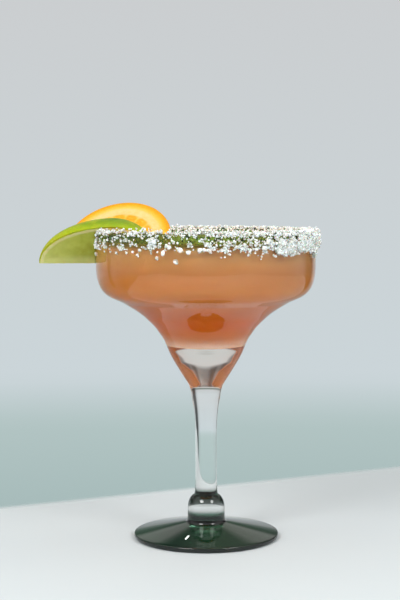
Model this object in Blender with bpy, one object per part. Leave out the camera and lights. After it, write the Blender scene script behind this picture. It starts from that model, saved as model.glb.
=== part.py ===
"""A margarita in its stemmed glass, with a salted rim, a lime wedge and a half slice of orange.

Metres, +Z up. The origin is the centre of the foot's underside. The drinker's view looks along +Y,
so -X is the left side, where the garnish sits on the rim.
"""

import math
import random

import bmesh
import bpy
from mathutils import Matrix, Vector

# Glass
RIM_RADIUS = 0.0585
RIM_HEIGHT = 0.165
WALL = 0.0029
STRAIGHT_WALL_END = 0.147
FOOT_RADIUS = 0.0389
FOOT_EDGE = 0.0026
STEM_RADIUS = 0.0058
STEM_TOP = 0.054
STEM_BOTTOM = 0.030
KNOB_RADIUS = 0.0100
KNOB_TOP = 0.0229
CAVITY_BOTTOM = 0.1054
TURNS = 48

# Drink
LEVEL = 0.1598
GAP = 0.0003
MENISCUS = 0.0006

# Salt on the rim, from its end behind the orange round the right side to its end before the lime
SALT_START = math.radians(144)
SALT_END = math.radians(-162)
SALT_SPAN_STEPS = 56
SALT_BAND_FOOT = 0.1574
SALT_THICKNESS = 0.0012
SALT_WOBBLE = 0.00035
SALT_HEAP_ANGLE = math.radians(-25)
SALT_HEAP_THICKNESS = 0.0007
SALT_HEAP_DROP = 0.0026
GRAIN_COUNT = 72
GRAIN_SIZES = (0.0009, 0.0014)
GRAIN_HEAP_SHARE = 0.5
SALT_DRIPS = ((-14, 0.1516), (-24, 0.1545), (-48, 0.1534), (-97, 0.1556))
SALT_SEED = 7

# Lime, a quarter cut lengthwise, whose core edge is level
LIME_TIP = -0.0888
LIME_LENGTH = 0.0645
LIME_WIDEST = 0.0400
LIME_RADIUS = 0.0240
LIME_CORE_HEIGHT = 0.1477
LIME_HALF_ANGLE = math.radians(34)
LIME_CORE_FLAT = 0.0012
LIME_STATIONS = 20
LIME_SKIN_STEPS = 8

# Orange, half a wheel
ORANGE_CENTRE = Vector((-0.0480, 0.0185, 0.1576))
ORANGE_RADIUS = 0.0309
ORANGE_THICKNESS = 0.0050
ORANGE_SLOPE = math.radians(43.4)
ORANGE_TURN = math.radians(-16.5)
ORANGE_ROLL = math.radians(10)
ORANGE_EDGE = 0.0006
ORANGE_ARC_STEPS = 24

SLIT_GAP = 0.0004
GARNISH_GAP = 0.0006


def curve(start, first_handle, second_handle, end, steps):
    """Points of a cubic curve after its start, as (radius, height)."""
    points = []
    for step in range(1, steps + 1):
        t = step / steps
        weights = ((1 - t) ** 3, 3 * t * (1 - t) ** 2, 3 * t * t * (1 - t), t**3)
        handles = (start, first_handle, second_handle, end)
        points.append(tuple(sum(w * p[axis] for w, p in zip(weights, handles)) for axis in (0, 1)))
    return points


def lip(steps, extra=0.0):
    """The rounded top of the wall, from its outer side to its inner side."""
    radius = WALL / 2 + extra
    centre = (RIM_RADIUS - WALL / 2, RIM_HEIGHT - WALL / 2)
    angles = [math.pi * step / steps for step in range(steps + 1)]
    return [(centre[0] + radius * math.cos(a), centre[1] + radius * math.sin(a)) for a in angles]


def outer_outline():
    """The outside of the glass, from the foot's centre up to the top of the straight wall."""
    edge = FOOT_EDGE / 3
    shoulder_end, well_top, well_side = (0.0500, 0.1293), (0.0330, 0.1193), (0.0258, 0.1118)
    bulge, neck, stem_top = (0.0200, 0.1010), (0.0096, 0.0833), (STEM_RADIUS, STEM_TOP)
    knob_top, knob_side, collar_foot = (0.0065, KNOB_TOP), (KNOB_RADIUS, 0.0155), (0.0116, 0.0080)
    foot_top = (FOOT_RADIUS - edge, FOOT_EDGE)
    points = [(RIM_RADIUS, STRAIGHT_WALL_END)]
    points += curve(points[-1], (RIM_RADIUS, 0.1380), (0.0565, 0.1325), shoulder_end, 5)
    points += curve(shoulder_end, (0.0450, 0.1268), (0.0380, 0.1240), well_top, 4)
    points += curve(well_top, (0.0304, 0.1168), (0.0277, 0.1146), well_side, 2)
    points += curve(well_side, (0.0231, 0.1076), (0.0214, 0.1046), bulge, 3)
    points += curve(bulge, (0.0175, 0.0954), (0.0130, 0.0885), neck, 3)
    points += curve(neck, (0.0074, 0.0797), (0.0060, 0.0680), stem_top, 4)
    points += [(STEM_RADIUS, STEM_BOTTOM), (0.0061, 0.0245)]
    points += [knob_top]
    points += curve(knob_top, (0.0082, 0.0224), (KNOB_RADIUS, 0.0195), knob_side, 4)
    points += curve(knob_side, (KNOB_RADIUS, 0.0100), (KNOB_RADIUS, 0.0082), collar_foot, 3)
    points += [foot_top]
    points += curve(foot_top, (FOOT_RADIUS, FOOT_EDGE), (FOOT_RADIUS, 0), (FOOT_RADIUS - edge, 0), 4)
    points += [(0, 0)]
    return points[::-1]


def inner_outline():
    """The inside of the bowl, from the foot of the straight wall down to the middle of the well."""
    radius = RIM_RADIUS - WALL
    step_top, step_foot, well, well_edge = (0.0485, 0.1330), (0.0296, 0.1218), (0.0206, 0.1117), (0.0110, 0.1063)
    points = [(radius, STRAIGHT_WALL_END)]
    points += curve(points[-1], (radius, 0.1400), (0.0538, 0.1360), step_top, 5)
    points += curve(step_top, (0.0430, 0.1299), (0.0350, 0.1268), step_foot, 4)
    points += curve(step_foot, (0.0264, 0.1187), (0.0236, 0.1151), well, 3)
    points += curve(well, (0.0184, 0.1092), (0.0150, 0.1072), well_edge, 3)
    points += curve(well_edge, (0.0075, 0.1056), (0.0030, CAVITY_BOTTOM), (0, CAVITY_BOTTOM), 2)
    return points


def moved_in(points, distance):
    """An outline that runs down to the axis, moved by a distance towards the middle of the bowl."""
    moved = []
    for index, (radius, height) in enumerate(points):
        before = points[max(index - 1, 0)]
        after = points[min(index + 1, len(points) - 1)]
        along = Vector((after[0] - before[0], after[1] - before[1])).normalized()
        moved.append((max(radius + along.y * distance, 0), height - along.x * distance))
    moved[-1] = (0, points[-1][1] + distance)
    return moved


def lofted(loops, wrap=False, closed=True):
    """A mesh through rows of points. Rows of a closed outline get end faces where they don't wrap."""
    mesh = bmesh.new()
    rows = [[mesh.verts.new(point) for point in loop] for loop in loops]
    following = rows[1:] + rows[:1] if wrap else rows[1:]
    for row, other in zip(rows, following):
        count = len(row)
        for index in range(count if closed else count - 1):
            after = (index + 1) % count
            mesh.faces.new((row[index], row[after], other[after], other[index]))
    if closed and not wrap:
        mesh.faces.new(rows[0])
        mesh.faces.new(rows[-1])
    bmesh.ops.remove_doubles(mesh, verts=mesh.verts, dist=1e-7)
    bmesh.ops.recalc_face_normals(mesh, faces=mesh.faces)
    return mesh


def turned(points):
    """The solid of an outline that starts and ends on the Z axis."""
    loops = []
    for step in range(TURNS):
        angle = 2 * math.pi * step / TURNS
        loops.append([(r * math.cos(angle), r * math.sin(angle), z) for r, z in points])
    return lofted(loops, wrap=True, closed=False)


def turned_ring(points):
    """The solid of a closed outline that stays clear of the Z axis."""
    loops = []
    for step in range(TURNS):
        angle = 2 * math.pi * step / TURNS
        loops.append([(r * math.cos(angle), r * math.sin(angle), z) for r, z in points])
    return lofted(loops, wrap=True)


def placed(name, mesh, collection=None):
    """An object made from a bmesh, shaded smooth but for its corners."""
    data = bpy.data.meshes.new(name)
    mesh.to_mesh(data)
    mesh.free()
    data.shade_smooth()
    data.set_sharp_from_angle(angle=math.radians(40))
    thing = bpy.data.objects.new(name, data)
    (collection or bpy.context.scene.collection).objects.link(thing)
    return thing


def apply_boolean(target, operation, tool=None, collection=None, solver="EXACT"):
    """Joins or cuts the target by an object or a collection, and removes what it was done with."""
    modifier = target.modifiers.new(operation.title(), "BOOLEAN")
    modifier.operation = operation
    modifier.solver = solver
    if collection:
        modifier.operand_type = "COLLECTION"
        modifier.collection = collection
    else:
        modifier.object = tool
    graph = bpy.context.evaluated_depsgraph_get()
    result = bpy.data.meshes.new_from_object(target.evaluated_get(graph))
    target.modifiers.clear()
    target.data = result
    result.name = target.name
    for used in list(collection.objects) if collection else [tool]:
        bpy.data.objects.remove(used)
    if collection:
        bpy.data.collections.remove(collection)


def paint(thing, colour, roughness, transmission=0.0):
    material = bpy.data.materials.new(thing.name)
    material.use_nodes = True
    shader = material.node_tree.nodes["Principled BSDF"]
    shader.inputs["Base Color"].default_value = (*colour, 1)
    shader.inputs["Roughness"].default_value = roughness
    shader.inputs["Metallic"].default_value = 0
    shader.inputs["Transmission Weight"].default_value = transmission
    material.diffuse_color = (*colour, 1)
    thing.data.materials.clear()
    thing.data.materials.append(material)


def wall_cutter(extra):
    """The upper part of the glass wall with room round it, for the garnish slits and the salt."""
    low = STRAIGHT_WALL_END - 0.012
    points = lip(6, extra)
    points += [(RIM_RADIUS - WALL - extra, low), (RIM_RADIUS + extra, low)]
    return placed("wall_cutter", turned_ring(points))


def make_glass():
    outline = outer_outline() + lip(6) + inner_outline()
    glass = placed("glass", turned(outline))
    paint(glass, (0.75, 0.85, 0.82), 0.02, transmission=1.0)


def lime_radius(along):
    """The skin's distance from the core edge, at a distance along it from the outer tip."""
    side = LIME_WIDEST if along < LIME_WIDEST else LIME_LENGTH - LIME_WIDEST
    share = (along - LIME_WIDEST) / side
    return LIME_RADIUS * math.sqrt(max(1 - share * share, 0))


def lime_mesh(extra=0.0):
    """The wedge without its slit, grown by a margin on every side."""
    lean = math.sin(LIME_HALF_ANGLE)
    loops = []
    for station in range(LIME_STATIONS + 1):
        turn = math.pi * (0.03 + 0.94 * station / LIME_STATIONS)
        along = LIME_LENGTH * (1 - math.cos(turn)) / 2
        reach = along + extra * (2 * along / LIME_LENGTH - 1)
        radius = lime_radius(along) + 2 * extra
        flat = min(LIME_CORE_FLAT, radius / 8) + extra
        foot = LIME_CORE_HEIGHT - extra
        loop = [(-flat, foot)]
        for step in range(LIME_SKIN_STEPS + 1):
            angle = LIME_HALF_ANGLE * (2 * step / LIME_SKIN_STEPS - 1)
            side = math.sin(angle) * (radius + extra / lean)
            loop.append((side, LIME_CORE_HEIGHT + math.cos(angle) * radius))
        loop.append((flat, foot))
        loops.append([(LIME_TIP + reach, side, height) for side, height in loop])
    return lofted(loops)


def orange_place():
    turn = Matrix.Rotation(ORANGE_TURN, 4, "Z") @ Matrix.Rotation(ORANGE_SLOPE, 4, "X")
    return Matrix.Translation(ORANGE_CENTRE) @ turn @ Matrix.Rotation(ORANGE_ROLL, 4, "Z")


def orange_mesh(extra=0.0):
    """Half a wheel with eased edges and without its slit, grown by a margin on every side."""
    half = ORANGE_THICKNESS / 2 + extra
    ease = ORANGE_EDGE
    loops = []
    for inset, height in ((ease, -half), (0, ease - half), (0, half - ease), (ease, half)):
        radius = ORANGE_RADIUS + extra - inset
        loop = []
        for step in range(ORANGE_ARC_STEPS + 1):
            angle = math.pi * step / ORANGE_ARC_STEPS
            rise = inset - extra if step in (0, ORANGE_ARC_STEPS) else radius * math.sin(angle)
            loop.append((radius * math.cos(angle), rise, height))
        loops.append(loop)
    mesh = lofted(loops)
    bmesh.ops.transform(mesh, matrix=orange_place(), verts=mesh.verts)
    return mesh


def make_garnish():
    lime = placed("lime_wedge", lime_mesh())
    apply_boolean(lime, "DIFFERENCE", wall_cutter(SLIT_GAP))
    paint(lime, (0.30, 0.47, 0.06), 0.35)
    orange = placed("orange_slice", orange_mesh())
    apply_boolean(orange, "DIFFERENCE", wall_cutter(SLIT_GAP))
    paint(orange, (0.95, 0.50, 0.06), 0.35)


def make_drink():
    wall = moved_in(inner_outline(), GAP)
    edge = wall[0][0]
    surface = [(0, LEVEL - MENISCUS), (edge - 0.003, LEVEL - MENISCUS), (edge, LEVEL)]
    drink = placed("drink", turned(surface + wall))
    apply_boolean(drink, "DIFFERENCE", placed("lime_room", lime_mesh(GARNISH_GAP)))
    apply_boolean(drink, "DIFFERENCE", placed("orange_room", orange_mesh(GARNISH_GAP)))
    paint(drink, (0.62, 0.27, 0.10), 0.1)


def heaped(angle):
    """How much of the heavy salt lies at an angle: 1 at the right of the front, 0 on the left."""
    return max(math.cos(angle - SALT_HEAP_ANGLE), 0) ** 3


def salt_outline(angle):
    """The section of the crust over the lip, thicker outside, as (radius, height)."""
    outer = RIM_RADIUS + GAP + SALT_THICKNESS + SALT_HEAP_THICKNESS * heaped(angle)
    inner = RIM_RADIUS - WALL - GAP - 0.6 * SALT_THICKNESS
    top = RIM_HEIGHT + GAP + SALT_THICKNESS
    middle = RIM_RADIUS - WALL / 2
    foot = SALT_BAND_FOOT - SALT_HEAP_DROP * heaped(angle)
    return (
        (middle + 0.0008, foot),
        (outer - 0.0005, foot + 0.0002),
        (outer, foot + 0.0030),
        (outer - 0.0001, top - 0.0022),
        (outer - 0.0012, top - 0.0004),
        (middle, top),
        (inner + 0.0006, top - 0.0006),
        (inner, top - 0.0040),
        (middle - 0.0006, top - 0.0046),
    )


def salt_band(rng):
    """The crust with an uneven surface and lower edge."""
    loops = []
    for step in range(SALT_SPAN_STEPS + 1):
        angle = SALT_START + (SALT_END - SALT_START) * step / SALT_SPAN_STEPS
        loop = []
        for radius, height in salt_outline(angle):
            radius += rng.uniform(-SALT_WOBBLE, SALT_WOBBLE)
            height += rng.uniform(-SALT_WOBBLE, SALT_WOBBLE)
            loop.append((radius * math.cos(angle), radius * math.sin(angle), height))
        loops.append(loop)
    return lofted(loops)


def grain(rng, centre, size):
    """A salt crystal: a lump of twenty faces, pulled about a little."""
    mesh = bmesh.new()
    bmesh.ops.create_icosphere(mesh, subdivisions=1, radius=size)
    for vertex in mesh.verts:
        vertex.co *= rng.uniform(0.8, 1.1)
    turn = Matrix.Rotation(rng.uniform(0, math.tau), 4, Vector((rng.random(), rng.random(), 1)))
    bmesh.ops.transform(mesh, matrix=Matrix.Translation(centre) @ turn, verts=mesh.verts)
    return mesh


def grain_places(rng):
    """(angle, radius, height, size) of each grain that stands proud of the band."""
    outer = RIM_RADIUS + GAP + SALT_THICKNESS
    margin = math.radians(2.5)
    places = []
    for index in range(GRAIN_COUNT):
        share = (index + rng.uniform(0.1, 0.9)) / GRAIN_COUNT
        angle = SALT_START - margin + (SALT_END - SALT_START + 2 * margin) * share
        heap = heaped(angle)
        size = rng.uniform(*GRAIN_SIZES) * (1 + GRAIN_HEAP_SHARE * heap)
        if index % 4 == 3:
            places.append((angle, RIM_RADIUS - WALL / 2, RIM_HEIGHT + SALT_THICKNESS, size))
            continue
        height = rng.uniform(SALT_BAND_FOOT - SALT_HEAP_DROP * heap, RIM_HEIGHT)
        places.append((angle, outer + SALT_HEAP_THICKNESS * heap - 0.0002, height, size))
    for degrees, foot in SALT_DRIPS:
        height = SALT_BAND_FOOT
        while height > foot:
            size = 0.0019 - 0.05 * (SALT_BAND_FOOT - height)
            angle = math.radians(degrees + rng.uniform(-0.8, 0.8))
            places.append((angle, RIM_RADIUS + GAP + 0.6 * size, height, size))
            height -= 0.0017
    return places


def make_salt():
    rng = random.Random(SALT_SEED)
    salt = placed("salt_rim", salt_band(rng))
    grains = bpy.data.collections.new("grains")
    bpy.context.scene.collection.children.link(grains)
    for angle, radius, height, size in grain_places(rng):
        centre = Vector((radius * math.cos(angle), radius * math.sin(angle), height))
        placed("grain", grain(rng, centre, size), grains)
    apply_boolean(salt, "UNION", collection=grains, solver="MANIFOLD")
    apply_boolean(salt, "DIFFERENCE", wall_cutter(GAP), solver="MANIFOLD")
    paint(salt, (0.92, 0.92, 0.92), 0.5)


for leftover in list(bpy.data.objects):
    bpy.data.objects.remove(leftover)
make_glass()
make_drink()
make_garnish()
make_salt()
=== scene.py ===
"""The looks of a margarita in its salted glass with a lime wedge and a half slice of orange.

Metres, in the frame of the solids: the origin is the centre of the foot's underside, +Z is up and the
main view looks along +Y.
"""

import math

import bmesh
import bpy
import numpy as np
from mathutils import Matrix, Vector, noise


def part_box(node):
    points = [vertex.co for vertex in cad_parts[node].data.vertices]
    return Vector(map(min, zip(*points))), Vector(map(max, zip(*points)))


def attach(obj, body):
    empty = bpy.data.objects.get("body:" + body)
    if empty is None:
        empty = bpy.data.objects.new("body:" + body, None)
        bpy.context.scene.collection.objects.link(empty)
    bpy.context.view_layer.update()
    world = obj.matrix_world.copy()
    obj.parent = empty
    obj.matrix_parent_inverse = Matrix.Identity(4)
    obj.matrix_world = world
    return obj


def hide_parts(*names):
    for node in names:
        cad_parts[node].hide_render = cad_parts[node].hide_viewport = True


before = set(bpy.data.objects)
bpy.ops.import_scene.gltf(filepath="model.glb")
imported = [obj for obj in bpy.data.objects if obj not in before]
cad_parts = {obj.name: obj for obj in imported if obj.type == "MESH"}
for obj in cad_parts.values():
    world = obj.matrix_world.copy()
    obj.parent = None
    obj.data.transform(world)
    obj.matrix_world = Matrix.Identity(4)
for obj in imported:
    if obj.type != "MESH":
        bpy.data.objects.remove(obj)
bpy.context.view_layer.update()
MM = 0.001

# Glass, as the solids have it
glass_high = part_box("glass")[1]
RIM_RADIUS = glass_high.x
RIM_HEIGHT = glass_high.z
WALL = 2.9 * MM
STRAIGHT_WALL_END = 147 * MM
FOOT_RADIUS = 38.9 * MM
GREEN_FOOT_TOP = 12.4 * MM
FOOT_TOP = 8.2 * MM
# Heights of the band of painted shade on the knob's cap
CAP_SHADE_FOOT = 18.5 * MM
CAP_SHADE_TOP = 24.5 * MM
GREEN_RIM_FOOT = 157.0 * MM
FOOT_CLEARNESS = 0.8
UNDERSIDE_CLEARNESS = 0.25
TURNS = 192

# Drink, with its index against the glass and against the air
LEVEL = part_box("drink")[1].z
INTO_WALL = 0.12 * MM
DRINK_TO_GLASS = 0.84
DRINK_TO_AIR = 1.34
DRINK_ROUGHNESS = 0.03
FLOOR_ROUGHNESS = 0.5
FLOOR_FADE = (116 * MM, 107 * MM)
DRINK_COLOURS_START = 101.6 * MM
MENISCUS_RISE = 1.2 * MM
MENISCUS_WIDTH = 4 * MM

# Lime
LIME_TIP = -88.8 * MM
LIME_LENGTH = 64.5 * MM
LIME_WIDEST = 40.0 * MM
LIME_RADIUS = 24.0 * MM
LIME_CORE = Vector((0, 0, 147.7 * MM))
LIME_HALF_ANGLE = math.radians(32.4)
LIME_CORE_FLAT = 1.2 * MM
LIME_STATIONS = 110
LIME_END_SHARE = 0.03

# Orange
ORANGE_CENTRE = Vector((-48.0 * MM, 18.5 * MM, 157.6 * MM))
ORANGE_RADIUS = 30.0 * MM
ORANGE_THICKNESS = 5.0 * MM
ORANGE_SLOPE = math.radians(43.4)
ORANGE_TURN = math.radians(-16.5)
ORANGE_ROLL = math.radians(10)
ORANGE_FLESH = 20.3 * MM
ORANGE_SEGMENTS = 15
ORANGE_FIRST = math.radians(66)
ORANGE_SWEEPS = 150

# Slit of the fruit over the wall: its room on each side, and how far it runs on below the straight wall
SLIT_GAP = 0.1 * MM
SLIT_DEPTH = 10 * MM

# Salt, with angles from +X over +Y
SALT_START = math.radians(144)
SALT_END = math.radians(-174)
SALT_SEED = 11
SALT_PATCH = 2.6 * MM
SALT_PATCHINESS = 1.1
SALT_REACH = 61.3 * MM
SALT_WAVE = 5.0 * MM
SALT_WAVE_HEIGHT = 2.4
SALT_PILE_MIDDLE = 160 * MM
SALT_PILE_HALF = 7 * MM
# How much of the glass the crust covers, by angle in degrees
SALT_COVER = (
    (-174, 0.25), (-162, -0.02), (-150, -0.08), (-135, 0.06), (-122, 0.14), (-117, 0.05), (-109, 0.05),
    (-105, 0.12), (-95, 0.15), (-80, 0.42), (-50, 0.7), (-25, 0.95), (15, 0.9), (50, 0.6), (144, 0.6),
)
# The crust's lower edge in millimetres, by angle
SALT_EDGE = (
    (-162, 156.6), (-130, 156.6), (-118, 157.0), (-110, 159.2), (-95, 159.2), (-88, 157.2),
    (-60, 157.0), (-50, 156.0), (-20, 156.6), (0, 157.0), (144, 157.0),
)
# How strongly the crust bulges at mid-height, by angle
SALT_BULGE = (
    (-162, 0.0), (-110, 0.3), (-60, 0.5), (-35, 1.5), (-15, 2.0), (5, 1.8), (30, 0.8), (60, 0.3), (144, 0.2),
)
# The crust's upper edge in millimetres, by angle
SALT_TOP = (
    (-162, 167.0), (-150, 167.6), (-138, 167.8), (-122, 168.0), (-100, 167.6), (-70, 166.8),
    (-30, 166.7), (-14, 165.9), (0, 165.4), (20, 166.0), (60, 166.3), (144, 166.4),
)
# Clumps, as angle in degrees, height, how far their middle stands out of the wall and radius in millimetres
SALT_CLUMPS = (
    (-117, 160.8, 0.2, 1.9), (-118.5, 158.6, 0.2, 1.3), (-51.5, 156.6, 0.5, 2.0), (-48, 155.6, 0.6, 2.0),
    (-45, 157.2, 0.6, 2.2), (-42.5, 155.4, 0.5, 1.7), (-50, 160.0, 0.4, 1.9), (-44, 160.8, 0.5, 1.8),
    (-36, 157.6, 0.7, 2.1), (-31, 158.6, 0.8, 2.2), (-26, 157.6, 0.8, 2.0), (-34, 161.8, 0.6, 2.0),
    (-18, 155.2, 0.6, 1.6), (-17.5, 152.6, 0.3, 1.2), (-12, 158.2, 1.0, 2.0), (-5, 158.6, 1.0, 2.0),
    (-8, 162.4, 0.8, 2.0), (-20, 162.0, 0.8, 2.0), (2, 160.6, 0.9, 1.9), (6, 157.6, 0.6, 1.6),
)
CLUMP_CRYSTALS = 14
# Smaller clumps strewn by chance over the heap at the right, round an angle in degrees
HEAP_CLUMPS = 46
HEAP_CRYSTALS = 22
HEAP_ANGLE = -20
HEAP_SPREAD = 15
# Loose grains, as angle in degrees, height and size in millimetres
SALT_GRAINS = (
    (-111.1, 155.5, 3.3), (-114.4, 152.9, 2.4), (-102.6, 157.1, 3.9), (-98.5, 156.0, 3.1),
    (-92.9, 157.0, 3.0), (-91.0, 157.2, 2.6), (-104.6, 151.3, 3.4), (-108, 158.4, 2.8),
    (-68.6, 156.2, 1.8), (-53.6, 153.4, 1.5), (-43.4, 153.4, 1.5),
)
# Larger grains strewn by chance: middle and spread of their angles in degrees, count, heights and sizes
GRAIN_FAMILIES = (
    (-22, 15, 40, (156.5, 165.5), (1.3, 2.4)),
    (-75, 30, 34, (156.6, 162.0), (1.3, 2.4)),
    (-14, 16, 110, (157.0, 165.6), (1.3, 2.4)),
    (-24, 14, 60, (155.8, 162.0), (1.8, 3.0)),
    (-4, 9, 80, (157.6, 165.2), (1.8, 3.2)),
)

# Table, whose back edge runs aslant and melts into the backdrop
TABLE_SLANT = 0.49
TABLE_BACK = 130 * MM
TABLE_FADE = 7 * MM

# Camera, fitted to the photograph
CAMERA_PLACE = Vector((-3.1 * MM, -787 * MM, 189.8 * MM))
CAMERA_PITCH = math.radians(4.5)
CAMERA_ROLL = math.radians(-0.12)
CAMERA_LENS = 88.68
SENSOR = 36.0

# Lamps
LAMP_AIM = Vector((0, 0, 0.12))

# Surface that both kinds of fruit share
FRUIT_SURFACE = {
    "Roughness": 0.4,
    "IOR": 1.4,
    "Specular_IOR_Level": 0.25,
    "Subsurface_Weight": 0.15,
    "Subsurface_Scale": 4 * MM,
}


def srgb(red, green, blue):
    """A display colour, 0 to 255, as the linear colour that a shader takes."""
    shares = [value / 255 for value in (red, green, blue)]
    return tuple(v / 12.92 if v <= 0.04045 else ((v + 0.055) / 1.055) ** 2.4 for v in shares) + (1,)


def curve(start, first_handle, second_handle, end, steps):
    """Points of a cubic curve after its start, as (radius, height), from handles in millimetres."""
    t = np.arange(1, steps + 1)[:, None] / steps
    handles = [np.array(handle) * MM for handle in (start, first_handle, second_handle, end)]
    shares = ((1 - t) ** 3, 3 * t * (1 - t) ** 2, 3 * t * t * (1 - t), t**3)
    return [tuple(point) for point in sum(share * handle for share, handle in zip(shares, handles))]


def outer_outline(fine):
    """The outside of the glass from the middle of its underside up to the straight wall."""
    rim, stem, foot = 58.5, 5.8, 38.9
    points = [(RIM_RADIUS, STRAIGHT_WALL_END)]
    points += curve((rim, 147), (rim, 138), (56.6, 132.4), (50.2, 129.5), 6 * fine)
    points += curve((50.2, 129.5), (48.4, 128.7), (46.6, 127.9), (44.8, 127.1), 2 * fine)
    points += curve((44.8, 127.1), (40.9, 124.8), (36.2, 122.1), (33, 119.3), 4 * fine)
    points += curve((33, 119.3), (30.4, 116.8), (27.7, 114.6), (25.8, 111.8), 3 * fine)
    points += curve((25.8, 111.8), (24.4, 109.7), (22.9, 107.9), (22.1, 106.0), 3 * fine)
    points += curve((22.1, 106.0), (21.4, 104.3), (20.65, 102.6), (20.0, 101.0), 3 * fine)
    points += curve((20.0, 101.0), (19.4, 99.5), (18.4, 97.6), (17.5, 96.0), 3 * fine)
    points += curve((17.5, 96.0), (15.1, 91.9), (12.3, 87.4), (9.6, 83.3), 5 * fine)
    points += curve((9.6, 83.3), (8.15, 81.1), (8.1, 78.1), (7.6, 75.5), 3 * fine)
    points += curve((7.6, 75.5), (6.8, 71.5), (stem, 64), (stem, 54), 3 * fine)
    points += curve((stem, 54), (stem, 46), (stem, 38), (stem, 30), 2 * fine)
    points += curve((stem, 30), (5.8, 28), (6.0, 26), (6.1, 24.5), 2)
    points += curve((6.1, 24.5), (6.2, 24), (6.3, 23.4), (6.4, 23.0), 2)
    points += curve((6.5, 22.9), (8.2, 22.4), (10, 19.5), (10, 15.5), 4 * fine)
    points += curve((10, 15.5), (10, 10), (10, 8.2), (11.6, 8.0), 4 * fine)
    points += curve((11.6, 8.0), (20, 6.3), (30, 4.3), (38.2, 2.6), 3 * fine)
    points += curve((38.2, 2.6), (38.7, 2.5), (foot, 2.2), (foot, 1.6), 2 * fine)
    points += curve((foot, 1.6), (foot, 0.8), (38.6, 0.1), (37.9, 0), 2 * fine)
    points += [(FOOT_RADIUS / 2, 0), (0, 0)]
    return points[::-1]


def lip(steps):
    """The rounded top of the wall, from its outer side to its inner side."""
    radius = WALL / 2
    angles = np.linspace(0, math.pi, steps + 1)
    middle, height = RIM_RADIUS - radius, RIM_HEIGHT - radius
    return [(middle + radius * math.cos(a), height + radius * math.sin(a)) for a in angles]


def inner_outline(fine):
    """The inside of the bowl, from the foot of the straight wall down to the middle of the well."""
    rim, wall = 58.5, 2.9
    radius = rim - wall
    points = [(RIM_RADIUS - WALL, STRAIGHT_WALL_END)]
    points += curve((radius, 147), (radius, 140), (53.8, 136), (48.5, 133), 5 * fine)
    points += curve((48.5, 133), (43, 129.9), (35, 126.8), (29.6, 121.8), 4 * fine)
    points += curve((29.6, 121.8), (26.4, 118.7), (23.6, 115.1), (20.6, 111.7), 4 * fine)
    points += curve((20.6, 111.7), (18.4, 109.2), (15.0, 107.2), (11.0, 106.3), 4 * fine)
    points += curve((11.0, 106.3), (7.5, 105.6), (3, 105.4), (0, 105.4), 3 * fine)
    return points


def moved_out(points, distance):
    """An outline that runs down to the axis, moved into the wall by a distance."""
    moved = []
    for index, (radius, height) in enumerate(points):
        before = points[max(index - 1, 0)]
        after = points[min(index + 1, len(points) - 1)]
        along = Vector((after[0] - before[0], after[1] - before[1])).normalized()
        moved.append((radius - along.y * distance, height + along.x * distance))
    moved[-1] = (0, points[-1][1] - distance)
    return moved


def as_object(name, points, faces, smooth_angle=40):
    """A mesh object from points and faces, with its faces turned outward and shaded smooth."""
    data = bpy.data.meshes.new(name)
    data.from_pydata([tuple(point) for point in points], [], [tuple(face) for face in faces])
    mesh = bmesh.new()
    mesh.from_mesh(data)
    bmesh.ops.recalc_face_normals(mesh, faces=mesh.faces)
    mesh.to_mesh(data)
    mesh.free()
    data.shade_smooth()
    if smooth_angle:
        data.set_sharp_from_angle(angle=math.radians(smooth_angle))
    thing = bpy.data.objects.new(name, data)
    bpy.context.scene.collection.objects.link(thing)
    return thing


def swept(outline):
    """The points of an outline, turned step by step round the Z axis."""
    rows = np.array(outline)
    angles = np.linspace(0, math.tau, TURNS, endpoint=False)
    return [np.c_[rows[:, 0] * math.cos(a), rows[:, 0] * math.sin(a), rows[:, 1]] for a in angles]


def turned(name, outline):
    """The solid of an outline that starts and ends on the Z axis."""
    count = len(outline) - 2
    ends = [(0, 0, outline[0][1]), (0, 0, outline[-1][1])]
    points = np.vstack(swept(outline[1:-1]) + [ends])
    first, last = TURNS * count, TURNS * count + 1
    faces = []
    for turn in range(TURNS):
        here, there = turn * count, (turn + 1) % TURNS * count
        faces += [(here + k, there + k, there + k + 1, here + k + 1) for k in range(count - 1)]
        faces += [(first, there, here), (last, here + count - 1, there + count - 1)]
    return as_object(name, points, faces)


def lofted(name, loops, smooth_angle=40):
    """The closed solid through rows of points that all have the same number of points."""
    count = len(loops[0])
    points = np.vstack(loops)
    faces = []
    for row in range(len(loops) - 1):
        here, there = row * count, (row + 1) * count
        for k in range(count):
            after = (k + 1) % count
            faces.append((here + k, here + after, there + after, there + k))
    faces += [tuple(range(count)), tuple(range(len(points) - count, len(points)))]
    return as_object(name, points, faces, smooth_angle)


def turned_ring(name, outline):
    """The solid of a closed outline that stays off the Z axis."""
    count = len(outline)
    faces = []
    for turn in range(TURNS):
        here, there = turn * count, (turn + 1) % TURNS * count
        for k in range(count):
            after = (k + 1) % count
            faces.append((here + k, there + k, there + after, here + after))
    return as_object(name, np.vstack(swept(outline)), faces)


def cut_out(piece, cutter):
    """Takes the cutter's room out of a piece."""
    step = piece.modifiers.new("cut", "BOOLEAN")
    step.operation = "DIFFERENCE"
    step.solver = "EXACT"
    step.object = cutter
    with bpy.context.temp_override(object=piece, active_object=piece, selected_objects=[piece]):
        bpy.ops.object.modifier_apply(modifier=step.name)


def set_values(thing, name, measure):
    """A number for each point of the mesh, measured at its place, which the material reads."""
    layer = thing.data.attributes.new(name, "FLOAT", "POINT")
    layer.data.foreach_set("value", [measure(vertex.co) for vertex in thing.data.vertices])


def ease(low, high, value):
    """0 below the low value and 1 above the high one, with a soft start and end."""
    share = min(max((value - low) / (high - low), 0), 1)
    return share * share * (3 - 2 * share)


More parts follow.
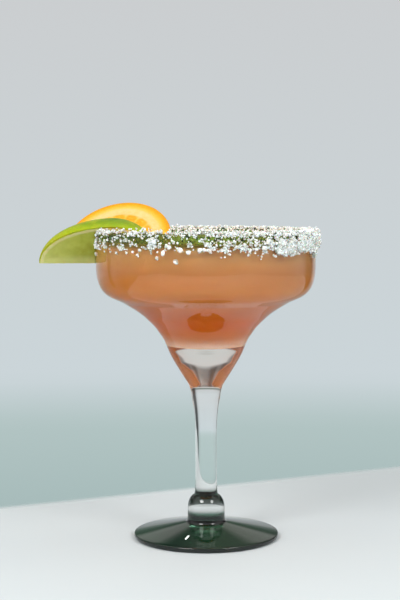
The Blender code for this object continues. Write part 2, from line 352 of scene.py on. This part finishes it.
class Net:
    """Shader nodes of one tree, added and joined in short steps."""

    def __init__(self, tree):
        self.tree = tree

    def add(self, kind, inputs=None, **settings):
        made = self.tree.nodes.new(kind)
        for key, value in settings.items():
            setattr(made, key, value)
        for key, value in (inputs or {}).items():
            self.feed(made.inputs[key], value)
        return made

    def feed(self, socket, value):
        if isinstance(value, bpy.types.NodeSocket):
            self.tree.links.new(value, socket)
        else:
            socket.default_value = value

    def split(self, vector):
        """The X, Y and Z of a vector."""
        return self.add("ShaderNodeSeparateXYZ", {0: vector}).outputs

    def maths(self, operation, first, second=0.0):
        return self.add("ShaderNodeMath", {0: first, 1: second}, operation=operation).outputs[0]

    def spread(self, value, low, high, smooth=False):
        """0 at the low value and 1 at the high one."""
        kind = "SMOOTHSTEP" if smooth else "LINEAR"
        inputs = {"Value": value, "From Min": low, "From Max": high}
        return self.add("ShaderNodeMapRange", inputs, interpolation_type=kind).outputs["Result"]

    def ramp(self, value, stops, smooth=False):
        made = self.add("ShaderNodeValToRGB", {0: value})
        made.color_ramp.interpolation = "EASE" if smooth else "LINEAR"
        while len(made.color_ramp.elements) < len(stops):
            made.color_ramp.elements.new(0.5)
        for element, (position, colour) in zip(made.color_ramp.elements, stops):
            element.position = position
            element.color = colour
        return made.outputs["Color"]

    def mixed(self, share, first, second, blend="MIX"):
        made = self.add("ShaderNodeMix", data_type="RGBA", blend_type=blend)
        for socket, value in ((made.inputs[0], share), (made.inputs[6], first), (made.inputs[7], second)):
            self.feed(socket, value)
        return made.outputs[2]


class Look(Net):
    """A procedural material around one shader."""

    def __init__(self, name, **values):
        self.material = bpy.data.materials.new(name)
        self.material.use_nodes = True
        super().__init__(self.material.node_tree)
        self.shader = self.tree.nodes["Principled BSDF"]
        for key, value in values.items():
            self.shader.inputs[key.replace("_", " ")].default_value = value

    def place(self):
        return self.add("ShaderNodeTexCoord").outputs["Object"]

    def value(self, name):
        return self.add("ShaderNodeAttribute", attribute_name=name).outputs["Fac"]

    def noise(self, scale, detail=3.0, stretch=None):
        place = self.place()
        if stretch:
            stretched = self.add("ShaderNodeVectorMath", {0: place, 1: stretch}, operation="MULTIPLY")
            place = stretched.outputs[0]
        inputs = {"Vector": place, "Scale": scale, "Detail": detail}
        return self.add("ShaderNodeTexNoise", inputs).outputs["Fac"]

    def wander(self, scale, reach):
        """A soft random number, at most half the reach either way."""
        return self.maths("MULTIPLY", self.maths("SUBTRACT", self.noise(scale), 0.5), reach)

    def bump(self, height, strength, distance):
        inputs = {"Height": height, "Strength": strength, "Distance": distance}
        self.feed(self.shader.inputs["Normal"], self.add("ShaderNodeBump", inputs).outputs[0])

    def colour(self, value):
        self.feed(self.shader.inputs["Base Color"], value)

    def on(self, thing):
        thing.data.materials.clear()
        thing.data.materials.append(self.material)


def glass_look(name, clearness):
    """Clear glass that turns green in a band at the rim and below the knob, with painted shade on the knob's
    cap and on the foot.
    """
    look = Look(name, Roughness=0.0, IOR=1.5, Transmission_Weight=clearness)
    height = look.maths("ADD", look.split(look.place())["Z"], look.wander(60.0, 1.2 * MM))
    # The foot's outer edge gets painted shade, a near-black green
    clear, edge, foot = srgb(252, 254, 253), srgb(10, 36, 28), srgb(42, 112, 74)
    # The knob's cap gets painted shade, a grey-green tint on clear glass
    collar, painted_cap_shade, band = srgb(30, 62, 46), srgb(92, 106, 98), srgb(120, 156, 70)
    stops = (
        # Painted shade along the foot's outer edge
        (0.0, edge),
        (2.2 * MM / RIM_HEIGHT, edge),
        (2.8 * MM / RIM_HEIGHT, foot),
        ((FOOT_TOP - 0.5 * MM) / RIM_HEIGHT, foot),
        ((FOOT_TOP + 0.5 * MM) / RIM_HEIGHT, collar),
        ((GREEN_FOOT_TOP - 1 * MM) / RIM_HEIGHT, collar),
        ((GREEN_FOOT_TOP + 1 * MM) / RIM_HEIGHT, clear),
        ((CAP_SHADE_FOOT - 1 * MM) / RIM_HEIGHT, clear),
        # Painted shade on the knob's cap
        ((CAP_SHADE_FOOT + 1 * MM) / RIM_HEIGHT, painted_cap_shade),
        ((CAP_SHADE_TOP - 1 * MM) / RIM_HEIGHT, painted_cap_shade),
        ((CAP_SHADE_TOP + 1 * MM) / RIM_HEIGHT, clear),
        ((GREEN_RIM_FOOT - 0.5 * MM) / RIM_HEIGHT, clear),
        ((GREEN_RIM_FOOT + 1.5 * MM) / RIM_HEIGHT, band),
        (1.0, band),
    )
    # Painted light and shade across the foot by X: darkest left of the middle, greyer towards the right
    sides = (
        (0.0, (1.0, 1.0, 1.0, 1)),
        (0.3, (0.5, 0.5, 0.6, 1)),
        (0.55, (1.0, 0.7, 0.6, 1)),
        (1.0, (1.1, 0.6, 0.7, 1)),
    )
    across = look.ramp(look.spread(look.split(look.place())["X"], -FOOT_RADIUS, FOOT_RADIUS), sides)
    low = look.spread(height, FOOT_TOP + 3 * MM, FOOT_TOP)
    body = look.ramp(look.maths("DIVIDE", height, RIM_HEIGHT), stops)
    look.colour(look.mixed(low, body, look.mixed(1.0, body, across, "MULTIPLY")))
    look.bump(look.noise(28.0, 1.0), 0.05, 1 * MM)
    return look


def drink_look(name, index):
    """Cloudy peach liquid, deeper orange in the well and duller at its floor, with a given index; painted
    light at its top and painted light and shade by side.
    """
    look = Look(name, IOR=index, Subsurface_Weight=0.3, Subsurface_Scale=8 * MM)
    look.shader.inputs["Subsurface Radius"].default_value = (1.0, 0.5, 0.25)
    place = look.split(look.place())
    floor = look.maths("MULTIPLY", look.spread(place["Z"], *FLOOR_FADE, True), FLOOR_ROUGHNESS)
    look.feed(look.shader.inputs["Roughness"], look.maths("ADD", floor, DRINK_ROUGHNESS))
    stops = (
        (0.08, (0.98, 0.27, 0.035, 1)),
        (0.28, (1.0, 0.20, 0.008, 1)),
        (0.42, (0.95, 0.235, 0.02, 1)),
        (0.58, (0.88, 0.315, 0.06, 1)),
        (0.74, (0.72, 0.30, 0.095, 1)),
        # Painted light: the top is made lighter and paler against the shade that the salt casts there
        (0.88, (0.82, 0.44, 0.18, 1)),
        (1.0, (0.92, 0.56, 0.29, 1)),
    )
    body = look.ramp(look.spread(place["Z"], DRINK_COLOURS_START, LEVEL), stops)
    # Painted light and shade by X: deeper orange at the left, darker at the far right
    sides = (
        (0.05, (1.0, 0.92, 0.62, 1)),
        (0.25, (1.03, 0.97, 0.72, 1)),
        (0.5, (1.0, 1.0, 1.0, 1)),
        (0.78, (1.0, 0.98, 0.94, 1)),
        (0.95, (0.93, 0.92, 0.85, 1)),
    )
    side = look.ramp(look.spread(place["X"], -RIM_RADIUS, RIM_RADIUS), sides)
    cloud = look.maths("MULTIPLY", look.spread(look.noise(45.0, 2.0), 0.3, 0.7), 0.08)
    look.colour(look.mixed(cloud, look.mixed(1.0, body, side, "MULTIPLY"), srgb(240, 190, 140)))
    return look


def salt_look():
    """White crystals, some greyer and some clearer than others."""
    look = Look("salt_look", Roughness=0.35, IOR=1.54, Subsurface_Weight=0.2, Subsurface_Scale=2 * MM)
    chance = look.add("ShaderNodeNewGeometry").outputs["Random Per Island"]
    stops = (
        (0.0, srgb(160, 160, 146)),
        (0.3, srgb(212, 212, 204)),
        (0.7, srgb(234, 235, 233)),
        (1.0, srgb(244, 246, 247)),
    )
    look.colour(look.ramp(chance, stops))
    look.bump(look.noise(1800.0, 2.0), 0.25, 0.2 * MM)
    return look


def lime_look():
    """Green pored skin, a thin pale pith and wet translucent flesh, told apart by depth under the skin."""
    look = Look("lime_look", **FRUIT_SURFACE)
    depth = look.maths("ADD", look.value("depth"), look.wander(350.0, 0.5))
    cells = look.noise(520.0, 2.0, (0.6, 1.0, 0.3))
    stops = ((0.3, srgb(146, 150, 42)), (0.55, srgb(162, 166, 58)), (0.8, srgb(180, 186, 84)))
    flesh = look.ramp(cells, stops)
    patches = look.ramp(look.noise(60.0), ((0.35, srgb(142, 144, 38)), (0.65, srgb(172, 180, 74))))
    core = look.maths("MULTIPLY", look.spread(look.value("core"), 7.0, 2.0, True), 0.6)
    flesh = look.mixed(core, look.mixed(0.5, flesh, patches), srgb(190, 190, 122))
    tip = look.spread(look.split(look.place())["X"], LIME_TIP + 24 * MM, LIME_TIP + 3 * MM)
    flesh = look.mixed(look.maths("MULTIPLY", tip, 0.5), flesh, srgb(204, 206, 120))
    height = look.spread(look.split(look.place())["Z"], LIME_CORE.z + 12 * MM, LIME_CORE.z + LIME_RADIUS)
    stops = ((0.0, srgb(160, 166, 8)), (0.55, srgb(142, 160, 8)), (1.0, srgb(92, 126, 14)))
    skin = look.ramp(height, stops)
    skin = look.mixed(look.spread(look.noise(160.0), 0.45, 0.75), skin, srgb(158, 168, 20))
    pith = srgb(212, 208, 138)
    under_skin = look.spread(depth, 0.55, 0.95)
    inside = look.spread(depth, 2.0, 2.9)
    look.colour(look.mixed(inside, look.mixed(under_skin, skin, pith), flesh))
    pores = look.add("ShaderNodeTexVoronoi", {"Vector": look.place(), "Scale": 1100.0}).outputs["Distance"]
    look.bump(look.mixed(inside, pores, cells), 0.3, 0.3 * MM)
    return look


def orange_look():
    """Zest, thick pale pith and flesh cells, told apart by the numbers on the mesh."""
    look = Look("orange_look", **FRUIT_SURFACE)
    wander = look.wander(500.0, 0.5)
    cells = look.noise(600.0, 2.0)
    stops = ((0.3, srgb(208, 144, 14)), (0.6, srgb(214, 156, 28)), (0.85, srgb(222, 178, 60)))
    flesh = look.ramp(cells, stops)
    pith = look.ramp(look.noise(300.0), ((0.3, srgb(206, 180, 104)), (0.7, srgb(212, 190, 128))))
    rind = look.spread(look.maths("ADD", look.value("depth"), wander), 6.6, 1.4)
    stops = (
        (0.0, srgb(210, 186, 116)),
        (0.35, srgb(214, 178, 74)),
        (0.75, srgb(214, 158, 20)),
        (1.0, srgb(206, 142, 10)),
    )
    inside = look.spread(look.maths("ADD", look.value("flesh"), wander), -0.9, 0.7, True)
    edge = look.ramp(rind, stops)
    pith = look.mixed(look.spread(rind, 0.0, 0.3), pith, edge)
    membrane = look.spread(look.value("radius"), 20.5, 18.0)
    pith = look.mixed(membrane, pith, srgb(220, 176, 62))
    look.colour(look.mixed(inside, pith, flesh))
    pores = look.add("ShaderNodeTexVoronoi", {"Vector": look.place(), "Scale": 900.0}).outputs["Distance"]
    look.bump(look.mixed(inside, pores, cells), 0.3, 0.3 * MM)
    return look


def make_glass():
    """The glass, with its foot less clear and the foot's underside nearly opaque."""
    outline = outer_outline(4) + lip(12) + inner_outline(4)
    glass = turned("glass_shell", outline)
    glass_look("glass_look", 1.0).on(glass)
    glass.data.materials.append(glass_look("foot_glass", FOOT_CLEARNESS).material)
    glass.data.materials.append(glass_look("foot_underside", UNDERSIDE_CLEARNESS).material)
    for face in glass.data.polygons:
        if face.center.z < FOOT_TOP:
            face.material_index = 2 if face.normal.z < -0.9 else 1
    return glass


def make_drink(fruit):
    """The drink up to its level, with room for the fruit that dips into it."""
    wall = moved_out(inner_outline(4), INTO_WALL)
    edge = wall[0][0]
    middle = LEVEL - MENISCUS_RISE
    shares = np.linspace(0, 1, 9)[1:]
    meniscus = [(edge - MENISCUS_WIDTH * (1 - s), LEVEL - MENISCUS_RISE * (1 - s) ** 2) for s in shares]
    surface = [(0, middle), (edge / 2, middle)] + meniscus
    drink = turned("drink_body", surface + wall)
    for piece in fruit:
        cut_out(drink, piece)
    drink_look("drink_in_glass", DRINK_TO_GLASS).on(drink)
    drink.data.materials.append(drink_look("drink_surface", DRINK_TO_AIR).material)
    for face in drink.data.polygons:
        if face.center.z > LEVEL - 2 * MM and face.normal.z > 0.5:
            face.material_index = 1
    return drink


def wall_ring():
    """The glass wall with a little room round it, which the fruit is slit by."""
    outside = RIM_RADIUS + SLIT_GAP
    inside = RIM_RADIUS - WALL - SLIT_GAP
    foot = STRAIGHT_WALL_END - SLIT_DEPTH
    middle, height = (outside + inside) / 2, RIM_HEIGHT - WALL / 2
    top = [(middle + (outside - middle) * math.cos(a), height + (outside - middle) * math.sin(a))
           for a in np.linspace(0, math.pi, 13)]
    return turned_ring("wall_ring", [(inside, foot), (outside, foot)] + top)


def lime_side(along):
    """The length from the widest section to the end that a section lies on."""
    return LIME_WIDEST if along < LIME_WIDEST else LIME_LENGTH - LIME_WIDEST


def lime_radius(along):
    """The lime's radius at a section."""
    share = (along - LIME_WIDEST) / lime_side(along)
    return LIME_RADIUS * math.sqrt(max(1 - share * share, 0))


def lime_depth(along, reach):
    """How far a point lies under the skin, in millimetres."""
    side = lime_side(along)
    across, up = (along - LIME_WIDEST) / side, reach / LIME_RADIUS
    size = math.hypot(across, up)
    slope = math.hypot(across / side, up / LIME_RADIUS) / max(size, 1e-6)
    return max((1 - size) / max(slope, 1e-6), 0) / MM


def lime_section(along):
    """The points round one section: up one cut face, over the skin and down the other face."""
    across, round_steps = 34, 26
    radius = lime_radius(along)
    flat = min(LIME_CORE_FLAT, radius / 8)
    inward = Vector((0, -math.cos(LIME_HALF_ANGLE), math.sin(LIME_HALF_ANGLE)))
    face = []
    for step in range(across + 1):
        reach = radius * step / across
        depth = lime_depth(along, reach)
        point = Vector((0, flat + reach * math.sin(LIME_HALF_ANGLE), reach * math.cos(LIME_HALF_ANGLE)))
        if step == across:
            point.y -= flat
        lumps = noise.noise(Vector((along * 420, reach * 160, 3.7))) * 0.2 * MM * ease(2.0, 4.0, depth)
        sink = 0.3 * MM * ease(1.6, 3.0, depth) * min(1, reach / (3 * MM))
        face.append(point + inward * (sink + lumps))
    skin = []
    for step in range(1, round_steps):
        angle = LIME_HALF_ANGLE * (1 - 2 * step / round_steps)
        swell = radius * (0.997 + 0.003 * noise.noise(Vector((along * 90, angle * 3, 0))))
        skin.append(Vector((0, swell * math.sin(angle), swell * math.cos(angle))))
    other_face = [Vector((0, -point.y, point.z)) for point in reversed(face)]
    shift = LIME_CORE + Vector((LIME_TIP + along, 0, 0))
    return [shift + point for point in face + skin + other_face]


def make_lime(ring):
    """A quarter of a lime from section to section, slit where it sits on the wall."""
    span = 1 - 2 * LIME_END_SHARE
    shares = [LIME_END_SHARE + span * station / LIME_STATIONS for station in range(LIME_STATIONS + 1)]
    places = [LIME_LENGTH * (1 - math.cos(math.pi * share)) / 2 for share in shares]
    lime = lofted("lime", [lime_section(along) for along in places], 50)
    cut_out(lime, ring)
    set_values(lime, "depth", lambda p: lime_depth(p.x - LIME_TIP, math.hypot(p.y, p.z - LIME_CORE.z)))
    set_values(lime, "core", lambda p: math.hypot(p.y, p.z - LIME_CORE.z) / MM)
    lime_look().on(lime)
    return lime


def orange_flesh(radius, angle):
    """How far inside a segment's flesh a point lies, in millimetres, and below zero in the pith."""
    share = (angle - ORANGE_FIRST) / math.tau * ORANGE_SEGMENTS
    turn = abs(share - round(share)) * math.tau / ORANGE_SEGMENTS
    membrane = radius * math.sin(math.pi / ORANGE_SEGMENTS - turn) / MM
    wall = (ORANGE_FLESH - radius) / MM
    heart = (radius - 2.5 * MM) / MM
    soft = 2.4
    nearest = min(membrane, wall)
    if abs(membrane - wall) < soft:
        nearest -= (soft - abs(membrane - wall)) ** 2 / (4 * soft)
    return min(nearest, heart) - 0.5


def orange_section(angle):
    """The points round one section of the slice: out along its front, over the rind and back."""
    across, rim_steps = 56, 9
    half = ORANGE_THICKNESS / 2
    start = 0.2 * MM
    round_edge = 1.0 * MM
    aim = Vector((math.cos(angle), math.sin(angle), 0))
    front = []
    for step in range(across + 1):
        radius = start + (ORANGE_RADIUS - round_edge - start) * step / across
        cells = noise.noise(Vector((angle * 9, radius * 260, 1.3))) * 0.1
        height = half - 0.35 * MM + MM * ease(-0.3, 1.2, orange_flesh(radius, angle)) * (0.2 + cells)
        front.append(aim * radius + Vector((0, 0, height)))
    rim = []
    for step in range(rim_steps):
        lean = math.pi * (step + 0.5) / rim_steps
        out = ORANGE_RADIUS - round_edge + round_edge * math.sin(lean) ** 0.6
        rim.append(aim * out + Vector((0, 0, (half - 0.35 * MM) * math.cos(lean))))
    back = [Vector((point.x, point.y, -point.z)) for point in reversed(front)]
    return front + rim + back


def make_orange(ring):
    """Half a wheel swept round its middle, leaning on the back of the lime and slit by the wall."""
    place = Matrix.Translation(ORANGE_CENTRE) @ Matrix.Rotation(ORANGE_TURN, 4, "Z")
    place = place @ Matrix.Rotation(ORANGE_SLOPE, 4, "X") @ Matrix.Rotation(ORANGE_ROLL, 4, "Z")
    sections = [orange_section(math.pi * sweep / ORANGE_SWEEPS) for sweep in range(ORANGE_SWEEPS + 1)]
    orange = lofted("orange", [[place @ point for point in section] for section in sections], 50)
    cut_out(orange, ring)
    back = place.inverted()

    def radius_of(point):
        local = back @ point
        return math.hypot(local.x, local.y)

    def flesh_at(point):
        local = back @ point
        return orange_flesh(math.hypot(local.x, local.y), math.atan2(local.y, local.x))

    set_values(orange, "flesh", flesh_at)
    set_values(orange, "depth", lambda point: (ORANGE_RADIUS - radius_of(point)) / MM)
    set_values(orange, "radius", lambda point: radius_of(point) / MM)
    orange_look().on(orange)
    return orange


def by_angle(angle, stops):
    """A value between the stops, each an angle in degrees from +X over +Y and its value."""
    degrees, values = zip(*stops)
    return np.interp(np.degrees(angle), degrees, values)


def thinned(rng, places, extra=0.0):
    """The places that the crust covers: patchy, thin at the left of the front and thick at its right."""
    angle, radius, height, size = places.T
    cover = by_angle(angle, SALT_COVER) + extra
    spots = np.c_[angle * RIM_RADIUS, height, np.zeros(len(angle))] / SALT_PATCH
    patches = np.array([noise.noise(Vector(spot)) for spot in spots])
    return places[rng.uniform(0, 1, len(places)) < cover + SALT_PATCHINESS * patches]


def outside(rng, count, sizes, heights, bulge):
    """(angle, radius, height, size) of crystals on the outside of the wall, piled out at mid-height."""
    angle = rng.uniform(SALT_END, SALT_START, count)
    size = rng.uniform(*sizes, count) * MM
    wave = np.array([noise.noise(Vector((RIM_RADIUS * turn / SALT_WAVE, 0, 0))) for turn in angle])
    height = (by_angle(angle, SALT_EDGE) + SALT_WAVE_HEIGHT * wave + heights(rng, count)) * MM
    pile = np.maximum(1 - ((height - SALT_PILE_MIDDLE) / SALT_PILE_HALF) ** 2, 0)
    thick = 0.2 * MM + bulge * by_angle(angle, SALT_BULGE)
    radius = RIM_RADIUS + size * 0.35 + rng.uniform(0, 1, count) * thick * pile
    return np.c_[angle, radius, height, size]


def on_lip(rng, count, sizes, piled):
    """Crystals over the rounded lip, up to the top of the crust."""
    angle = rng.uniform(SALT_END, SALT_START, count)
    turn = rng.uniform(0, math.pi, count)
    size = rng.uniform(*sizes, count) * MM
    reach = WALL / 2 + size * 0.35
    radius = RIM_RADIUS - WALL / 2 + reach * np.cos(turn)
    room = np.maximum(by_angle(angle, SALT_TOP) * MM - RIM_HEIGHT - size * 0.8, 0)
    height = RIM_HEIGHT - WALL / 2 + (reach + rng.uniform(0, 1, count) * piled * room) * np.sin(turn)
    return np.c_[angle, radius, height, size]


def inside(rng, count, sizes):
    """Crystals on the inside of the wall, above the drink."""
    angle = rng.uniform(SALT_END, SALT_START, count)
    size = rng.uniform(*sizes, count) * MM
    height = RIM_HEIGHT - rng.uniform(1.2, 4.4, count) * MM
    return np.c_[angle, RIM_RADIUS - WALL - size * 0.4, height, size]


def clump(rng, degrees, height, out, reach, sizes, count):
    """Crystals in the shell of a ball that sits on the wall."""
    way = rng.normal(size=(count, 3))
    way *= rng.uniform(0.55, 1.0, (count, 1)) * reach * MM / np.linalg.norm(way, axis=1)[:, None]
    angle = math.radians(degrees)
    middle = RIM_RADIUS + out * MM
    spots = way + np.array((middle * math.cos(angle), middle * math.sin(angle), height * MM))
    radius = np.maximum(np.hypot(spots[:, 0], spots[:, 1]), RIM_RADIUS - 0.3 * MM)
    return np.c_[np.arctan2(spots[:, 1], spots[:, 0]), radius, spots[:, 2], rng.uniform(*sizes, count) * MM]


def kept(places):
    """Crystals pushed back to the crust's widest, without those that would be inside the lime."""
    angle, radius, height, size = places.T
    places[:, 1] = np.minimum(radius, SALT_REACH - size / 2)
    face = LIME_CORE_FLAT + (height - LIME_CORE.z) * math.tan(LIME_HALF_ANGLE)
    return places[(angle > -math.pi / 2) | (-radius * np.sin(angle) > face + size / 2)]


def crystal_places(rng):
    """(angle, radius, height, size) of the small crystals: the strewn ones, then the clumps."""
    edge = outside(
        rng, count=2300, sizes=(0.5, 1.4), heights=lambda r, n: r.normal(0.8, 1.6, n), bulge=0.6 * MM
    )
    wall = outside(
        rng, count=3000, sizes=(0.5, 1.2), heights=lambda r, n: r.uniform(0.5, 8.5, n), bulge=1.0 * MM
    )
    lip = on_lip(rng, count=2300, sizes=(0.5, 1.2), piled=0.3)
    pile = on_lip(rng, count=1700, sizes=(0.6, 1.3), piled=1.0)
    parts = [thinned(rng, edge, extra=0.1), thinned(rng, wall)]
    parts += [thinned(rng, lip, extra=0.55), thinned(rng, pile, extra=0.35)]
    parts.append(thinned(rng, inside(rng, count=1900, sizes=(0.5, 1.1))))
    for degrees, height, out, reach in SALT_CLUMPS:
        count = int(CLUMP_CRYSTALS * reach**2)
        parts.append(clump(rng, degrees, height, out, reach, (1.1, 2.1), count))
    for _ in range(HEAP_CLUMPS):
        spot, height = rng.normal(HEAP_ANGLE, HEAP_SPREAD), rng.uniform(157.0, 165.0)
        out = rng.uniform(0.2, 1.1) * max(1 - (height - 158) / 9, 0.2)
        reach = rng.uniform(0.9, 1.6)
        parts.append(clump(rng, spot, height, out, reach, (0.8, 1.5), HEAP_CRYSTALS))
    return kept(np.vstack(parts))


def lump_places(rng):
    """(angle, radius, height, size) of the larger grains, the clumps' cores and the loose grains."""
    parts = []
    for spot, spread, count, heights, sizes in GRAIN_FAMILIES:
        angle = np.radians(rng.normal(spot, spread, count))
        size = rng.uniform(*sizes, count) * MM
        radius = RIM_RADIUS + size * rng.uniform(0.2, 0.5, count)
        parts.append(np.c_[angle, radius, rng.uniform(*heights, count) * MM, size])
    for degrees, height, out, reach in SALT_CLUMPS:
        parts.append([(math.radians(degrees), RIM_RADIUS + out * MM, height * MM, 1.9 * reach * MM)])
    for degrees, height, size in SALT_GRAINS:
        parts.append([(math.radians(degrees), RIM_RADIUS + 0.32 * size * MM, height * MM, size * MM)])
    return kept(np.vstack(parts))


def copies(rng, places, corners, sides, squash, knock):
    """Points and faces of one small shape put at every place, each turned and knocked about by chance."""
    points, faces = [], []
    for index, (angle, radius, height, size) in enumerate(places):
        shape = corners * rng.uniform(*squash, 3) * size / 2
        shape *= rng.uniform(*knock, (len(corners), 1))
        turn = Matrix.Rotation(rng.uniform(0, math.tau), 3, Vector(rng.normal(size=3)).normalized())
        centre = (radius * math.cos(angle), radius * math.sin(angle), height)
        points.append(shape @ np.array(turn) + centre)
        faces.append(sides + len(corners) * index)
    return np.vstack(points), np.vstack(faces)


def make_salt():
    """Small crystals as knocked blocks and lumps as knocked balls, joined in one mesh."""
    rng = np.random.default_rng(SALT_SEED)
    block = np.array([(x, y, z) for x in (-1, 1) for y in (-1, 1) for z in (-1, 1)], float)
    sides = np.array([(0, 1, 3, 2), (4, 6, 7, 5), (0, 4, 5, 1), (2, 3, 7, 6), (0, 2, 6, 4), (1, 5, 7, 3)])
    places = crystal_places(rng)
    crystals, crystal_faces = copies(rng, places, block, sides, (0.6, 1.0), (0.75, 1.1))
    mesh = bmesh.new()
    bmesh.ops.create_icosphere(mesh, subdivisions=2, radius=1)
    ball = np.array([vertex.co[:] for vertex in mesh.verts])
    ball_faces = np.array([[vertex.index for vertex in face.verts] for face in mesh.faces])
    mesh.free()
    lumps, lump_faces = copies(rng, lump_places(rng), ball, ball_faces, (0.72, 1.0), (0.82, 1.06))
    faces = [tuple(face) for face in crystal_faces] + [tuple(face) for face in lump_faces + len(crystals)]
    salt = as_object("salt_crystals", np.vstack([crystals, lumps]), faces, 25)
    salt_look().on(salt)
    return salt


def make_stage():
    """A pale table top whose far edge melts into the backdrop."""
    half, front, back = 0.9, -0.9, 0.52
    corners = [(-half, front, 0), (half, front, 0), (half, back, 0), (-half, back, 0)]
    table = as_object("table_top", corners, [(0, 1, 2, 3)])
    table.location.z = -0.2 * MM
    look = Look("table_look", Roughness=0.5)
    look.colour(look.ramp(look.noise(6.0), ((0.3, srgb(197, 204, 206)), (0.7, srgb(201, 208, 209)))))
    clear = look.add("ShaderNodeBsdfTransparent").outputs[0]
    place = look.split(look.place())
    slant = look.maths("SUBTRACT", place["Y"], look.maths("MULTIPLY", place["X"], TABLE_SLANT))
    fade = look.spread(slant, TABLE_BACK - TABLE_FADE, TABLE_BACK + TABLE_FADE, True)
    both = look.add("ShaderNodeMixShader", {0: fade, 1: look.shader.outputs[0], 2: clear}).outputs[0]
    look.feed(look.tree.nodes["Material Output"].inputs["Surface"], both)
    look.on(table)


def make_world():
    """A pale backdrop, a bright soft ceiling, and a dimmer room with dark gaps at the sides."""
    world = bpy.data.worlds.new("studio")
    bpy.context.scene.world = world
    world.use_nodes = True
    net = Net(world.node_tree)
    way = net.split(net.add("ShaderNodeTexCoord").outputs["Generated"])
    height = net.spread(way["Z"], -1.0, 1.0)
    # What is behind the glass and before it, by the height that one looks to, from -1 to 1
    behind = (
        (-1.0, (0.30, 0.32, 0.32, 1)),
        (-0.27, (0.36, 0.40, 0.40, 1)),
        (-0.21, srgb(168, 188, 187)),
        (-0.16, srgb(178, 196, 195)),
        (-0.13, srgb(203, 213, 217)),
        (0.125, srgb(203, 206, 208)),
        (0.16, (0.36, 0.40, 0.39, 1)),
        (0.22, (0.18, 0.22, 0.20, 1)),
        (0.28, (0.13, 0.16, 0.14, 1)),
        (0.34, (0.60, 0.60, 0.58, 1)),
        (0.48, (0.62, 0.60, 0.58, 1)),
        (0.54, (0.22, 0.22, 0.21, 1)),
        (0.61, (0.22, 0.22, 0.21, 1)),
        (0.68, (0.46, 0.43, 0.41, 1)),
        (0.74, (0.50, 0.46, 0.44, 1)),
        (0.85, (1.1, 1.1, 1.1, 1)),
        (1.0, (1.3, 1.3, 1.3, 1)),
    )
    before = ((-1.0, 0.1), (-0.25, 0.1), (-0.1, 0.5), (0.3, 0.7), (0.6, 1.0), (1.0, 1.2))
    backdrop = net.ramp(height, [((z + 1) / 2, colour) for z, colour in behind])
    viewer = net.ramp(height, [((z + 1) / 2, (grey, grey, grey, 1)) for z, grey in before])
    backdrop = net.mixed(net.spread(way["Y"], 0.1, 0.4, True), viewer, backdrop)
    # How bright the room is all round, by degrees from +Y over +X
    turns = (
        (-180, 0.7), (-120, 0.9), (-80, 1.2), (-66, 0.9), (-60, 0.15), (-54, 0.9), (-25, 1.0), (20, 1.0),
        (28, 0.9), (36, 0.08), (50, 0.08), (60, 0.9), (80, 1.3), (115, 1.3), (150, 0.6), (180, 0.5),
    )
    turn = net.spread(net.maths("ARCTAN2", way["X"], way["Y"]), -math.pi, math.pi)
    room = net.ramp(turn, [((degrees + 180) / 360, (grey, grey, grey, 1)) for degrees, grey in turns])
    level = net.maths("SUBTRACT", 1.0, net.spread(net.maths("ABSOLUTE", way["Z"]), 0.3, 0.45, True))
    lit = net.mixed(level, backdrop, net.mixed(1.0, backdrop, room, "MULTIPLY"))
    # Dark bars across the upper part of the room, by the same degrees
    bars = (
        (-180, 1.0), (-60, 1.0), (-38, 0.8), (-32, 0.2), (-27, 0.2), (-23, 0.7), (-19, 0.7),
        (-15, 0.2), (-9, 0.25), (-2, 0.9), (13, 1.1), (17, 0.3), (21, 0.3), (24, 0.8), (27, 0.8),
        (30, 0.25), (36, 0.3), (42, 0.9), (180, 1.0),
    )
    bar = net.ramp(turn, [((degrees + 180) / 360, (grey, grey, grey, 1)) for degrees, grey in bars])
    upper = net.maths("MULTIPLY", net.spread(way["Z"], 0.48, 0.56), net.spread(way["Z"], 0.84, 0.76))
    lit = net.mixed(upper, lit, net.mixed(1.0, lit, bar, "MULTIPLY"))
    net.feed(net.tree.nodes["Background"].inputs["Color"], lit)


def make_lamps():
    """Two large soft lamps at the upper front, and small far lamps that glint in the foot."""
    lamps = (
        ("soft_left", (-0.6, -0.8, 0.9), 0.5, 9.0),
        ("soft_right", (0.7, -0.7, 0.8), 0.5, 6.0),
        ("glint_behind", (-0.297, 3.3, 2.3), 0.025, 0.06),
        ("glint_high", (0.1, 3.0, 3.0), 0.12, 0.6),
        ("glint_front", (1.3, -1.75, 2.2), 0.14, 1.2),
    )
    for name, place, size, power in lamps:
        data = bpy.data.lights.new(name, "AREA")
        data.shape = "DISK"
        data.size = size
        data.energy = power
        lamp = bpy.data.objects.new(name, data)
        lamp.location = place
        lamp.rotation_euler = (LAMP_AIM - Vector(place)).to_track_quat("-Z", "Y").to_euler()
        bpy.context.scene.collection.objects.link(lamp)


def make_camera():
    """The camera of the main view."""
    data = bpy.data.cameras.new("camera")
    data.sensor_fit = "VERTICAL"
    data.sensor_height = SENSOR
    data.lens = CAMERA_LENS
    camera = bpy.data.objects.new("camera", data)
    camera.location = CAMERA_PLACE
    turn = Matrix.Rotation(math.radians(90) - CAMERA_PITCH, 4, "X") @ Matrix.Rotation(CAMERA_ROLL, 4, "Z")
    camera.rotation_euler = turn.to_euler()
    bpy.context.scene.collection.objects.link(camera)
    bpy.context.scene.camera = camera


make_camera()
make_world()
make_lamps()
make_stage()
ring = wall_ring()
lime = make_lime(ring)
orange = make_orange(ring)
pieces = (
    (make_glass(), "glass", "glass"),
    (make_drink((lime, orange)), "drink", "drink"),
    (make_salt(), "salt_rim", "salt"),
    (lime, "lime_wedge", "lime"),
    (orange, "orange_slice", "orange"),
)
bpy.data.objects.remove(ring)
for piece, node, slot in pieces:
    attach(piece, "root")
    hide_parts(node)
bpy.context.scene.view_settings.view_transform = "Standard"
